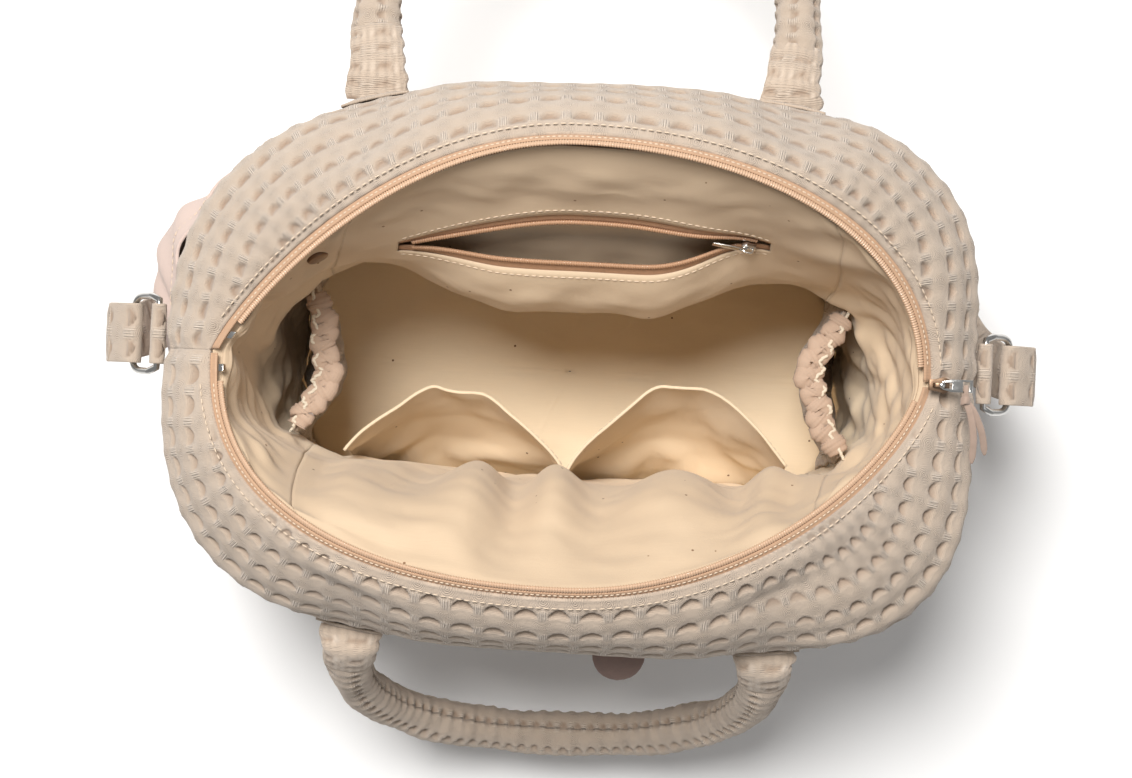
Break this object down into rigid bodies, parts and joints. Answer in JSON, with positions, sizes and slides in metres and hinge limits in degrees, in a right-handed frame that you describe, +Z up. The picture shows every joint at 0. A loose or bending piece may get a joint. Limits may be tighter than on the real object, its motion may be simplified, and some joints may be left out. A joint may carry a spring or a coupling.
{
  "type": "diaper bag",
  "caption": "Soft nursery bag in large-cell waffle cotton, unzipped and standing open, with a loose cotton lining, inner pockets, rolled handles and a shoulder strap on D-rings.",
  "frame": {"origin": "centre of the underside of the base", "axes": "+X to the end where the zip starts, along the bag's length; +Y to the back; +Z up"},
  "size_m": [0.544, 0.5911, 0.318],
  "materials": {
    "waffle_cotton": "large-cell waffle weave, soft and matt",
    "cotton_lining": "plain natural cotton with small seed flecks",
    "brushed_twill": "brushed, smooth",
    "zip_tape": "woven zip tape",
    "zip_coil": "nylon coil",
    "pocket_zip_tape": "woven zip tape",
    "pocket_zip_coil": "nylon coil",
    "bright_steel": "polished plating",
    "antique_bronze": "dark, rubbed",
    "ribbon": "suede-like",
    "tab_leather": "smooth, matt",
    "elastic": "braided elastic in a cotton casing",
    "stiffener_board": "pressed board"
  },
  "bodies": {
    "bag": {"base_panel": "waffle_cotton", "base_board": "stiffener_board", "lining_base": "cotton_lining", "right_end_panel": "waffle_cotton", "back_panel": "waffle_cotton", "left_end_panel": "waffle_cotton", "front_panel": "waffle_cotton", "back_zip_strip": "waffle_cotton", "front_zip_strip": "waffle_cotton", "back_zip_tape": "zip_tape", "front_zip_tape": "zip_tape", "back_zip_coil": "zip_coil", "front_zip_coil": "zip_coil", "back_top_stop": "bright_steel", "front_top_stop": "bright_steel", "lining_right": "cotton_lining", "lining_back": "cotton_lining", "lining_left": "cotton_lining", "lining_front": "cotton_lining", "pocket_lower_tape": "pocket_zip_tape", "pocket_upper_tape": "pocket_zip_tape", "pocket_lower_coil": "pocket_zip_coil", "pocket_upper_coil": "pocket_zip_coil", "zip_pocket_bag": "cotton_lining", "slip_pocket_left": "cotton_lining", "slip_pocket_right": "cotton_lining", "end_pocket_left": "waffle_cotton", "end_pocket_right": "waffle_cotton", "elastic_left": "elastic", "elastic_right": "elastic", "outer_pocket": "brushed_twill", "front_tab": "tab_leather", "snap_button": "bright_steel", "front_handle_root_left": "waffle_cotton", "front_handle_root_right": "waffle_cotton", "back_handle_root_left": "waffle_cotton", "back_handle_root_right": "waffle_cotton", "left_ring_tab": "waffle_cotton", "right_ring_tab": "waffle_cotton", "shoulder_strap": "waffle_cotton"},
    "front_handle": {"front_handle": "waffle_cotton"},
    "back_handle": {"back_handle": "waffle_cotton"},
    "left_ring": {"left_ring": "bright_steel", "left_strap_loop": "waffle_cotton"},
    "right_ring": {"right_ring": "bright_steel", "right_strap_loop": "waffle_cotton"},
    "zip_slider": {"zip_slider": "antique_bronze"},
    "zip_pull": {"zip_pull": "bright_steel"},
    "zip_ribbon": {"zip_ribbon": "ribbon"},
    "pocket_slider": {"pocket_slider": "bright_steel"},
    "pocket_pull": {"pocket_pull": "bright_steel"},
    "strap_adjuster": {"strap_adjuster": "bright_steel"}
  },
  "joints": [
    {"name": "front_handle_swing", "type": "hinge", "parent": "bag", "child": "front_handle", "pos_m": [0, -0.164, 0.224], "axis": [-1, 0, 0], "range_deg": [0, 160]},
    {"name": "back_handle_swing", "type": "hinge", "parent": "bag", "child": "back_handle", "pos_m": [0, 0.164, 0.224], "axis": [1, 0, 0], "range_deg": [-54, 106]},
    {"name": "left_ring_swing", "type": "hinge", "parent": "bag", "child": "left_ring", "pos_m": [-0.2338, 0.008, 0.23], "axis": [0, 1, 0], "range_deg": [-20, 70], "deforming": ["shoulder_strap"]},
    {"name": "right_ring_swing", "type": "hinge", "parent": "bag", "child": "right_ring", "pos_m": [0.2338, 0.008, 0.23], "axis": [0, -1, 0], "range_deg": [-20, 70], "deforming": ["shoulder_strap"]},
    {"name": "zip_slide", "type": "slide", "parent": "bag", "child": "zip_slider", "axis": [-1, 0, 0], "range_m": [0, 0.392]},
    {"name": "zip_pull_turn", "type": "hinge", "parent": "zip_slider", "child": "zip_pull", "pos_m": [0.2026, 0, 0.2733], "axis": [0, -1, 0], "range_deg": [0, 150]},
    {"name": "zip_ribbon_swing", "type": "hinge", "parent": "zip_pull", "child": "zip_ribbon", "pos_m": [0.2153, 0, 0.2733], "axis": [0, 0, 1], "range_deg": [-5, 25]},
    {"name": "pocket_zip_slide", "type": "slide", "parent": "bag", "child": "pocket_slider", "axis": [-1, 0, 0], "range_m": [0, 0.16]},
    {"name": "pocket_pull_turn", "type": "hinge", "parent": "pocket_slider", "child": "pocket_pull", "pos_m": [0.09566, 0.0712, 0.23324], "axis": [0.0805, 0.2587, 0.9626], "range_deg": [0, 150]},
    {"name": "adjuster_slide", "type": "slide", "parent": "bag", "child": "strap_adjuster", "axis": [1, 0, 0], "range_m": [-0.07, 0.015]}
  ]
}
